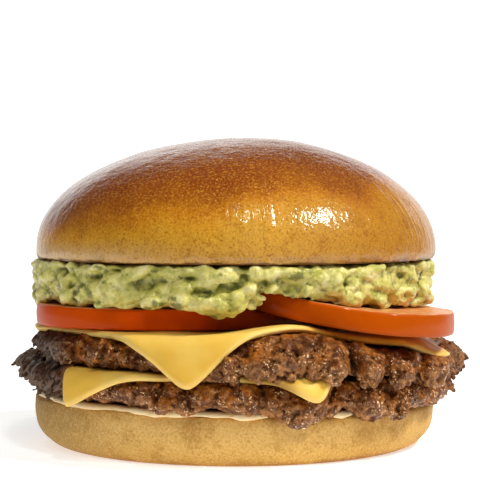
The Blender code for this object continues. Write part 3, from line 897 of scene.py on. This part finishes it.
def other_lumps():
    """Lumps like those in the photo, round the sides and the back."""
    draw = np.random.default_rng(302)
    places, sizes = [], []
    for row, count in ((0.78, 34), (0.48, 32), (0.2, 34)):
        for k in range(count):
            angle = math.radians((k + draw.uniform(-0.35, 0.35)) * 360 / count + 170 * row)
            radius = AVOCADO_SIDE - 3.0 + draw.normal(0, 0.5)
            if math.sin(angle) < -0.32:
                continue
            backness = 0.5 + 0.5 * math.sin(angle)
            low = AVOCADO_FRONT_BASE + (AVOCADO_BACK_BASE - AVOCADO_FRONT_BASE) * backness
            height = low + (CROWN_BASE - low) * (row + draw.uniform(-0.08, 0.08))
            places.append((radius * math.cos(angle), radius * math.sin(angle), height))
            sizes.append((draw.uniform(2.2, 4.4), draw.uniform(1.5, 2.5)))
    wide, high = np.array(sizes).T
    return flat_lumps(np.array(places), wide, high, 0.9 * high + 1.0, 303)


def top_row():
    """Mash pressed up against the crown, so that no gap shows under its rim."""
    count = 64
    draw = np.random.default_rng(304)
    angle = directions(count) + draw.uniform(-2, 2, count)
    places = ring(AVOCADO_SIDE - 2.9 + draw.uniform(-0.7, 0.5, count), angle, 0)
    places[:, 2] = CROWN_BASE - 1.2 - draw.uniform(0, 0.5, count)
    high = draw.uniform(0.9, 1.5, count)
    return flat_lumps(places, draw.uniform(2.6, 4.2, count), high, high + 1.2, 305)


def small_lumps(slim, triangles):
    """Small bits of mash all over the side."""
    count = 280
    draw = np.random.default_rng(77)
    places, normals = even_spots(slim, triangles, count, 78, beyond=48, level=0.97)
    high = draw.uniform(0.5, 1.1, count)
    return flat_lumps(places + normals * 0.3, draw.uniform(1.2, 3.0, count), high, high + 0.4, 79, 2)


def strokes(points, long, short, slant, seed):
    """Lumps drawn out into slanted strokes, as a fork leaves them, that run round the burger."""
    around = np.radians((angle_of(points) + 270) % 360) * AVOCADO_SIDE
    along = around * math.cos(slant) + points[:, 2] * math.sin(slant)
    across = points[:, 2] * math.cos(slant) - around * math.sin(slant) + 1.3 * hills(points, 5.0, seed)
    return nodules(np.stack([along * short / long, across, reach_of(points)], axis=1), short, seed) - 0.6


def hollowed(points):
    """Presses the hollows that the photo shows into the side of the mash."""
    outward = outward_of(points)
    for pixel_x, pixel_y, half_width, half_height in FRONT_HOLLOWS:
        place, pixel = on_photo(pixel_x, pixel_y, AVOCADO_SIDE)
        apart = np.hypot(points[:, 0] - place[0], points[:, 1] - place[1]) / (half_width * pixel)
        above = (points[:, 2] - place[2]) / (half_height * pixel)
        points = points - outward * (HOLLOW_DEPTH * bell(apart) * bell(above))[:, None]
    return points


def avocado():
    """Mashed avocado: the frame's layer under big soft lumps, smaller ones and smears."""
    core, triangles = frame_copy("avocado")
    slim = core - outward_of(core) * (1.7 * fade(reach_of(core), 46, 52))[:, None]
    front = photo_lumps(FRONT_LUMPS, AVOCADO_SIDE - 2.6, 0.0, 0.6, 301)
    small = small_lumps(slim, triangles)
    points, faces = joined([(slim, triangles), front, other_lumps(), top_row(), small])
    top = CROWN_BASE - 0.2
    points[(points[:, 2] > top) & (reach_of(points) < 54.5), 2] = top
    piece = make_piece("avocado_mash", points, faces.tolist(), "avocado")
    skinned(piece, AVOCADO_SKIN)
    mesh = piece.data
    points = smoothed(mesh, points_of(mesh), 7)
    move_points(mesh, points)
    side = fade(reach_of(points), 46, 50)
    rough = 0.9 * strokes(points, 7.5, 2.8, 0.35, 61) + 0.2 * strokes(points, 2.4, 1.2, -0.3, 62)
    rough += 0.45 * hills(points, 2.2, 64) + 0.3 * (0.35 - np.abs(hills(points, 1.0, 63)))
    move_points(mesh, hollowed(points + normals_of(mesh) * (rough * side)[:, None]))
    thinned(piece, MOST_TRIANGLES - 10000)
    store(piece.data, "hollow", hollows(piece.data, 5))
    store(piece.data, "basin", hollows(piece.data, 50))
    piece.data.materials.append(MATERIALS["avocado"])


# Materials


def colour(red, green, blue):
    """A colour as it shows on a screen, 0 to 255, turned into the shader's linear values."""
    channels = [channel / 255 for channel in (red, green, blue)]
    return (*[c / 12.92 if c <= 0.04045 else ((c + 0.055) / 1.055) ** 2.4 for c in channels], 1.0)


def grey(value):
    return (value, value, value, 1.0)


class Shader:
    """A Principled material that is put together node by node."""

    def __init__(self, name):
        self.material = bpy.data.materials.new(name)
        self.material.use_nodes = True
        self.tree = self.material.node_tree
        self.principled = self.tree.nodes["Principled BSDF"]
        self.place = self.node("TexCoord").outputs["Object"]
        apart = self.node("SeparateXYZ", {0: self.place}).outputs
        self.across = self.math("DIVIDE", apart["X"], MM)
        self.height = self.math("DIVIDE", apart["Z"], MM)

    def feed(self, socket, value):
        if isinstance(value, bpy.types.NodeSocket):
            self.tree.links.new(value, socket)
        else:
            socket.default_value = value

    def set(self, **values):
        for name, value in values.items():
            self.feed(self.principled.inputs[name.replace("_", " ")], value)

    def node(self, kind, inputs=None, **settings):
        """A node of this kind, with its inputs linked or filled in."""
        node = self.tree.nodes.new("ShaderNode" + kind)
        for name, value in settings.items():
            setattr(node, name, value)
        for name, value in (inputs or {}).items():
            self.feed(node.inputs[name], value)
        return node

    def math(self, operation, a, b=0.0):
        return self.node("Math", {0: a, 1: b}, operation=operation).outputs[0]

    def times(self, a, b):
        return self.math("MULTIPLY", a, b)

    def stored(self, name, output="Fac"):
        """What the mesh keeps for each point under this name."""
        return self.node("Attribute", attribute_name=name).outputs[output]

    def noise(self, size, detail=2.0, roughness=0.55, vector=None):
        """Soft noise with features of this size in millimetres, mostly between 0.3 and 0.7."""
        if vector is None:
            vector, size = self.place, size * MM
        inputs = {"Vector": vector, "Scale": 1 / size, "Detail": detail, "Roughness": roughness}
        return self.node("TexNoise", inputs).outputs["Fac"]

    def stretched_noise(self, by):
        """Noise stretched along directions that run round the bun and up it."""
        inputs = {0: self.stored("round_and_up", "Vector"), 1: by}
        return self.noise(1.0, 3, 0.55, self.node("VectorMath", inputs, operation="MULTIPLY").outputs[0])

    def wandering(self, value, reach, size, detail):
        """The value, moved up and down by noise of this size, half this reach at the most."""
        shift = self.times(self.math("SUBTRACT", self.noise(size, detail), 0.5), reach)
        return self.math("ADD", value, shift)

    def span(self, value, low, high, to_low=0.0, to_high=1.0):
        """The value moved from one range to another, and kept inside it."""
        inputs = {"Value": value, "From Min": low, "From Max": high, "To Min": to_low, "To Max": to_high}
        return self.node("MapRange", inputs, interpolation_type="SMOOTHSTEP").outputs["Result"]

    def mix(self, share, a, b, blend="MIX"):
        """Two colours mixed; a plain one is given as it shows on a screen, 0 to 255."""
        a, b = (colour(*tone) if isinstance(tone, tuple) else tone for tone in (a, b))
        return self.node("Mix", {"Factor": share, 6: a, 7: b}, data_type="RGBA", blend_type=blend).outputs[2]

    def patched(self, base, *patches):
        """The base under more colours, each of which comes in as its value goes from start to end."""
        for value, start, end, strength, tone, *blend in patches:
            base = self.mix(self.span(value, start, end, 0, strength), base, tone, *blend)
        return base

    def ramp(self, value, *stops):
        """Colours along the value; each stop is a position, then red, green and blue."""
        node = self.node("ValToRGB", {"Fac": value})
        ends = node.color_ramp.elements
        for end, (position, *tone) in ((ends[0], stops[0]), (ends[1], stops[-1])):
            end.position, end.color = position, colour(*tone)
        for position, *tone in stops[1:-1]:
            ends.new(position).color = colour(*tone)
        return node.outputs["Color"]

    def relief(self, *layers):
        """Fine relief, layer on layer; each layer is a height and its depth in millimetres."""
        below = {}
        for height, depth in layers:
            inputs = {"Distance": depth * MM, "Strength": 1.0, "Height": height, **below}
            below = {"Normal": self.node("Bump", inputs).outputs["Normal"]}
        return below["Normal"]


def crown_material():
    """Egg-glazed crust: pale round the rim, gold above it, brown on top, finely speckled and crinkled, with
    painted shade on both sides and along its foot.
    """
    s = Shader("glazed_crust")
    level = s.math("ADD", s.wandering(s.height, 15, 15, 4), s.times(s.across, -0.12))
    base = s.ramp(
        s.span(level, 50, 84),
        (0.00, 206, 152, 60),
        (0.14, 210, 154, 42),
        (0.26, 210, 147, 30),
        (0.40, 194, 122, 10),
        (0.55, 158, 86, 2),
        (0.75, 140, 66, 0),
        (1.00, 122, 58, 10),
    )
    pale_rim = s.times(s.span(s.height, 57, 52), s.span(s.across, -5, -38, 0.15, 0.9))
    base = s.mix(pale_rim, base, (206, 166, 106))
    grain = s.noise(0.6, 3, 0.75)
    base = s.patched(
        base,
        (s.noise(4.5, 3), 0.5, 0.68, 0.3, (150, 82, 10)),
        (grain, 0.53, 0.65, 0.6, (232, 172, 62)),
        (grain, 0.48, 0.34, 0.75, (196, 146, 100), "MULTIPLY"),
        # painted shade: the right side is toned down where the key light falls strongest
        (s.across, 5, 42, 0.75, (204, 184, 112), "MULTIPLY"),
    )
    left_shade = s.times(s.span(s.across, -14, -36, 0, 0.55), s.span(s.height, 56, 61))
    base = s.mix(left_shade, base, (210, 190, 200), "MULTIPLY")
    # painted shade: a dark brown line low on the skirt, where the crown tucks in over the mash
    base = s.patched(base, (s.wandering(s.height, 1.2, 3.5, 2), 51.1, 50.7, 0.9, (104, 56, 16)))
    around, upward = s.stretched_noise((0.16, 0.16, 0.7)), s.stretched_noise((0.42, 0.42, 0.05))
    top_only = s.times(s.span(s.height, 60, 74), s.span(s.noise(9, 2), 0.35, 0.6, 0.2, 1.0))
    from_streaks = s.math("ABSOLUTE", s.math("SUBTRACT", s.across, 5))
    creased = s.math("MAXIMUM", s.span(s.across, 28, 46, 0, 0.7), s.span(from_streaks, 9, 3, 0, 0.8))
    creased = s.times(creased, s.span(s.height, 75, 68))
    normal = s.relief(
        (s.times(around, top_only), 0.24),
        (s.times(upward, creased), 0.6),
        (s.noise(3.4, 3, 0.6), 0.34),
        (s.noise(0.75, 2, 0.6), 0.075),
    )
    s.set(Base_Color=base, Roughness=0.5, Specular_IOR_Level=0.12, Normal=normal)
    s.set(Coat_Weight=0.72, Coat_Roughness=0.11, Coat_Normal=normal)
    return s.material


def heel_material():
    """Matte bun side: golden with fine pale grain, a few brown smudges, browner at the foot, with painted
    shade on both sides.
    """
    s = Shader("heel_bread")
    base = s.ramp(
        s.span(s.wandering(s.height, 4, 9, 3), -1, 14),
        (0.00, 170, 112, 44),
        (0.08, 214, 168, 84),
        (0.35, 224, 180, 100),
        (0.80, 226, 184, 108),
        (1.00, 216, 172, 98),
    )
    grain = s.noise(0.6, 3, 0.7)
    base = s.patched(
        base,
        (s.noise(6.5, 4, 0.6), 0.48, 0.66, 0.65, (190, 140, 62)),
        # painted shade: the left side is darker, away from the key light
        (s.across, -20, -52, 0.8, (176, 138, 78)),
        # painted shade: the right side is toned down where the key light falls strongest
        (s.across, 10, 45, 0.35, (214, 196, 170), "MULTIPLY"),
        (grain, 0.5, 0.68, 0.45, (244, 212, 144)),
        (grain, 0.48, 0.32, 0.5, (158, 106, 42)),
    )
    normal = s.relief((s.noise(2.2, 4, 0.6), 0.25), (s.noise(0.7, 3, 0.65), 0.14))
    s.set(Base_Color=base, Roughness=0.7, Specular_IOR_Level=0.15, Normal=normal)
    s.set(Subsurface_Weight=0.1, Subsurface_Radius=(0.003, 0.002, 0.001))
    return s.material


def sauce_material():
    s = Shader("sauce")
    base = s.mix(s.span(s.noise(4.0, 2), 0.4, 0.65, 0, 1), (252, 228, 180), (244, 214, 160))
    normal = s.relief((s.noise(1.6, 2), 0.2))
    s.set(Base_Color=base, Roughness=0.3, Specular_IOR_Level=0.3, Normal=normal)
    s.set(Subsurface_Weight=0.25, Subsurface_Radius=(0.0025, 0.002, 0.0014))
    return s.material


def beef_material():
    """Seared minced beef: glazed brown above, partly painted shade, pinkish-brown meat below, painted shade
    in the pits, painted glints and burnt ends.
    """
    s = Shader("beef")
    hollow, basin, below = s.stored("hollow"), s.stored("basin"), s.stored("below_top")
    # dark brown near the top of the rim: partly seared crust, partly painted shade under the layer above
    glaze_and_shade = s.mix(s.span(s.noise(4.5, 3), 0.42, 0.62), (92, 44, 12), (154, 86, 18))
    meat = s.mix(s.span(s.noise(4.0, 3), 0.4, 0.6), (102, 58, 28), (166, 112, 64))
    base = s.mix(s.span(s.wandering(below, 14, 6, 3), 3.0, 8.0), glaze_and_shade, meat)
    fleck = s.noise(1.4, 5, 0.72)
    base = s.patched(
        base,
        (fleck, 0.52, 0.64, 0.6, (208, 150, 94)),
        (fleck, 0.48, 0.35, 0.65, (62, 28, 14)),
        (s.noise(3.4, 3, 0.6), 0.56, 0.68, 0.4, (66, 34, 18)),
        # painted shade in the pits and the wider hollows
        (hollow, 0.02, 0.2, 0.8, (44, 18, 6)),
        (basin, 0.0, 0.8, 0.8, (36, 15, 5)),
    )
    # burnt ends: painted shade in the hollows and pale grey on the ridges, partly ash and partly painted
    # sheen, with darker char patches and seared brown towards the right
    char_shade_and_sheen = s.mix(s.span(hollow, -0.1, 0.05), (118, 98, 84), (32, 20, 16))
    char_shade_and_sheen = s.mix(s.span(s.noise(5, 3), 0.42, 0.58, 0, 0.7), char_shade_and_sheen, (52, 26, 18))
    seared = s.mix(s.span(s.noise(1.5), 0.4, 0.6), (60, 26, 10), (160, 106, 64))
    char_shade_and_sheen = s.mix(s.span(s.across, 0, 40, 0, 0.9), char_shade_and_sheen, seared)
    base = s.mix(s.times(s.stored("burnt"), 0.95), base, char_shade_and_sheen)
    normal = s.relief((s.noise(1.1, 3, 0.7), 0.55), (s.noise(0.5, 1, 0.5), 0.28))
    open_face = s.times(s.span(hollow, 0.12, -0.02), s.span(below, 0.3, 1.8))
    open_face = s.times(open_face, s.span(s.stored("burnt"), 0.2, 1.0, 1.0, 0.25))
    # painted glints: small pale flecks on the open faces of the lumps, standing for wet highlights
    painted_glints = s.times(s.span(s.noise(0.6, 1, 0.5), 0.61, 0.67, 0, 0.85), s.span(s.noise(5, 2), 0.42, 0.56))
    base = s.mix(s.times(painted_glints, open_face), base, (250, 212, 160))
    s.set(Base_Color=base, Roughness=0.45, Specular_IOR_Level=0.25, Normal=normal)
    s.set(Specular_Tint=colour(255, 214, 170))
    wet = s.times(s.span(s.noise(2.5, 2), 0.42, 0.56, 0.1, 0.65), open_face)
    s.set(Coat_Weight=wet, Coat_Roughness=0.06, Coat_Normal=normal)
    return s.material


def cheese_material():
    """Soft melted cheese: even yellow, with a painted highlight along the edge, painted light under the
    right tomato slice and painted shade under the upper patty's lobes.
    """
    s = Shader("cheese")
    base = s.mix(s.span(s.noise(14, 2), 0.4, 0.62), (240, 200, 96), (234, 188, 78))
    # painted highlight: paler along the edge
    base = s.patched(base, (s.stored("from_edge"), 1.4, 0.3, 0.5, (248, 218, 140)))
    # painted light: a warm orange glow on the upper slice where it lies under the right tomato slice
    painted_tomato_glow = s.times(s.span(s.across, 13, 26), s.span(s.height, 28.0, 29.5))
    base = s.mix(painted_tomato_glow, base, (246, 166, 52))
    # painted shade on the lower slice, under the upper patty's lobes
    painted_lobe_shade = s.times(s.span(s.across, -2, 5), s.span(s.across, 19, 12))
    painted_lobe_shade = s.times(painted_lobe_shade, s.span(s.height, 25, 23, 0, 0.8))
    base = s.mix(painted_lobe_shade, base, (150, 108, 40))
    normal = s.relief((s.noise(7, 2), 0.5), (s.noise(1.2, 2), 0.04))
    s.set(Base_Color=base, Roughness=0.38, Normal=normal, Specular_IOR_Level=0.08)
    s.set(Subsurface_Weight=0.5, Subsurface_Radius=(0.006, 0.0035, 0.001))
    return s.material


def tomato_material():
    """Glossy red-orange skin, with painted light and painted shade on parts of it; the cut faces are paler,
    wet flesh with a shining rim.
    """
    s = Shader("tomato")
    # red-orange that is darker at the right end: partly the slices' own tone, partly painted shade where the
    # key light falls strongest
    ripeness_and_shade = s.span(s.math("ADD", s.across, s.times(s.noise(18, 2), 30)), -10, 50)
    skin = s.mix(ripeness_and_shade, (200, 72, 0), (178, 76, 0))
    # painted light: the middle of the left slice is brightened where the mash and the right slice shade it
    painted_light = s.times(s.span(s.across, -34, -22), s.span(s.across, -3, -9))
    skin = s.mix(painted_light, skin, (244, 92, 0))
    skin = s.mix(s.times(s.span(s.across, 4, 14), s.span(s.across, 46, 34)), skin, (192, 80, 0))
    flesh = s.mix(s.span(s.noise(3.0, 3), 0.42, 0.62), (214, 128, 74), (228, 166, 108))
    base = s.mix(s.span(s.stored("flesh"), 0.2, 0.8), skin, flesh)
    normal = s.relief((s.noise(3.4, 2), 0.1))
    s.set(Base_Color=base, Roughness=0.4, Specular_IOR_Level=0.05, Normal=normal)
    s.set(Coat_Weight=0.14, Coat_Roughness=0.06)
    s.set(Subsurface_Weight=0.08, Subsurface_Radius=(0.003, 0.0008, 0.0003))
    return s.material


def avocado_material():
    """Mashed avocado: pale yellow-green fragments in greener mash, with painted shade in the hollows and
    painted light on the bulging lumps.
    """
    s = Shader("avocado")
    hollow, basin = s.stored("hollow"), s.stored("basin")
    patch = s.noise(3.2, 4, 0.62)
    base = s.mix(s.span(s.noise(4.5, 3), 0.4, 0.6), (204, 196, 98), (228, 219, 134))
    base = s.patched(
        base,
        (patch, 0.52, 0.66, 0.8, (240, 231, 168)),
        (patch, 0.46, 0.36, 0.7, (170, 172, 76)),
        (s.noise(8.0, 3), 0.5, 0.64, 0.55, (176, 174, 80)),
        # painted shade in the small and wide hollows, painted light on the lumps that bulge out
        (hollow, 0.0, 0.22, 0.7, (140, 138, 50)),
        (basin, 0.0, 0.9, 0.9, (88, 92, 30)),
        (basin, -0.3, -1.2, 0.5, (246, 238, 176)),
        (s.noise(4.2, 3), 0.58, 0.68, 0.75, (84, 90, 36)),
    )
    normal = s.relief((s.noise(1.5, 3, 0.65), 0.45), (s.noise(0.6, 1, 0.5), 0.1))
    s.set(Base_Color=base, Roughness=0.34, Specular_IOR_Level=0.3, Normal=normal)
    s.set(Specular_Tint=colour(255, 250, 214), Coat_Weight=0.35, Coat_Roughness=0.16, Coat_Normal=normal)
    s.set(Subsurface_Weight=0.1, Subsurface_Radius=(0.002, 0.002, 0.0006))
    return s.material


def backdrop_material():
    """A white surface that also glows a little, like a light table."""
    s = Shader("backdrop")
    s.set(Base_Color=grey(0.85), Roughness=0.8, Specular_IOR_Level=0.2)
    s.set(Emission_Color=grey(1.0), Emission_Strength=0.55)
    return s.material


MATERIALS = {
    "beef": beef_material(),
    "cheese": cheese_material(),
    "tomato": tomato_material(),
    "avocado": avocado_material(),
}


# Stage


def backdrop():
    """A pale floor that curves up behind the burger and ends a little in front of it, below the picture."""
    far, curve, half_width = 0.7, 0.2, 0.8
    bend = np.linspace(0.1, math.pi / 2, 12)
    profile = [(-0.16, 0.0), (far, 0.0)]
    profile += [(far + curve * math.sin(t), curve - curve * math.cos(t)) for t in bend]
    profile += [(far + curve, 0.5)]
    points = [(x, y, z) for y, z in profile for x in (-half_width, half_width)]
    faces = [(2 * k, 2 * k + 1, 2 * k + 3, 2 * k + 2) for k in range(len(profile) - 1)]
    mesh = bpy.data.meshes.new("backdrop")
    mesh.from_pydata(points, [], faces)
    mesh.shade_smooth()
    mesh.materials.append(backdrop_material())
    added("backdrop", mesh)


def soft_light(name, place, aim, size, power, shade=(1.0, 1.0, 1.0)):
    """A round soft light at a place in metres, turned to face a point."""
    data = bpy.data.lights.new(name, "AREA")
    data.shape = "DISK"
    data.size = size
    data.energy = power
    data.color = shade
    lamp = added(name, data)
    lamp.location = place
    lamp.rotation_euler = (Vector(aim) - Vector(place)).to_track_quat("-Z", "Y").to_euler()
    return lamp


def lights():
    middle = (0.0, 0.0, 0.045)
    soft_light("key", (0.58, -0.25, 0.79), middle, 0.17, 7.5, (1.0, 0.96, 0.88))
    fill = soft_light("front", (0.05, -0.92, 0.94), middle, 0.9, 5.7)
    fill.visible_glossy = False
    soft_light("glints", (0.13, -0.47, 0.94), middle, 0.06, 1.5, (1.0, 0.97, 0.90))
    soft_light("back", (-0.20, 0.78, 0.42), middle, 0.5, 0.35)
    world = bpy.data.worlds.new("studio")
    world.use_nodes = True
    background = world.node_tree.nodes["Background"].inputs
    background["Color"].default_value = grey(1.0)
    background["Strength"].default_value = 0.10
    bpy.context.scene.world = world


def camera():
    data = bpy.data.cameras.new("photo_view")
    data.lens = CAMERA_LENS
    eye = added("photo_view", data)
    eye.location = Vector(CAMERA_PLACE) * MM
    eye.rotation_euler = (math.pi / 2 + CAMERA_PITCH, 0.0, 0.0)
    bpy.context.scene.camera = eye
    bpy.context.scene.view_settings.view_transform = "Standard"


def burger():
    heel()
    sauce()
    lower_patty = 0.0, lower_patty_radius, lower_patty_top
    upper_patty = UPPER_PATTY_CENTRE_X, upper_patty_radius, upper_patty_top
    lower_cheese = cheese("cheese_lower_slice", "cheese_lower", *lower_patty, **LOWER_CHEESE)
    upper_cheese = cheese("cheese_upper_slice", "cheese_upper", *upper_patty, **UPPER_CHEESE)
    patty("patty_lower_meat", "patty_lower", lower_patty_top, lower_cheese, None, **LOWER_RIM)
    patty("patty_upper_meat", "patty_upper", upper_patty_top, upper_cheese, lower_cheese, **UPPER_RIM)
    left = LEFT_TOMATO_CENTRE, LEFT_TOMATO_HALF, left_tomato_base, left_tomato_top
    right = RIGHT_TOMATO_CENTRE, RIGHT_TOMATO_HALF, right_tomato_base, right_tomato_top
    tomato("tomato_left_slice", "tomato_left", *left, 51)
    tomato("tomato_right_slice", "tomato_right", *right, 53)
    avocado()
    crown()


burger()
backdrop()
lights()
camera()
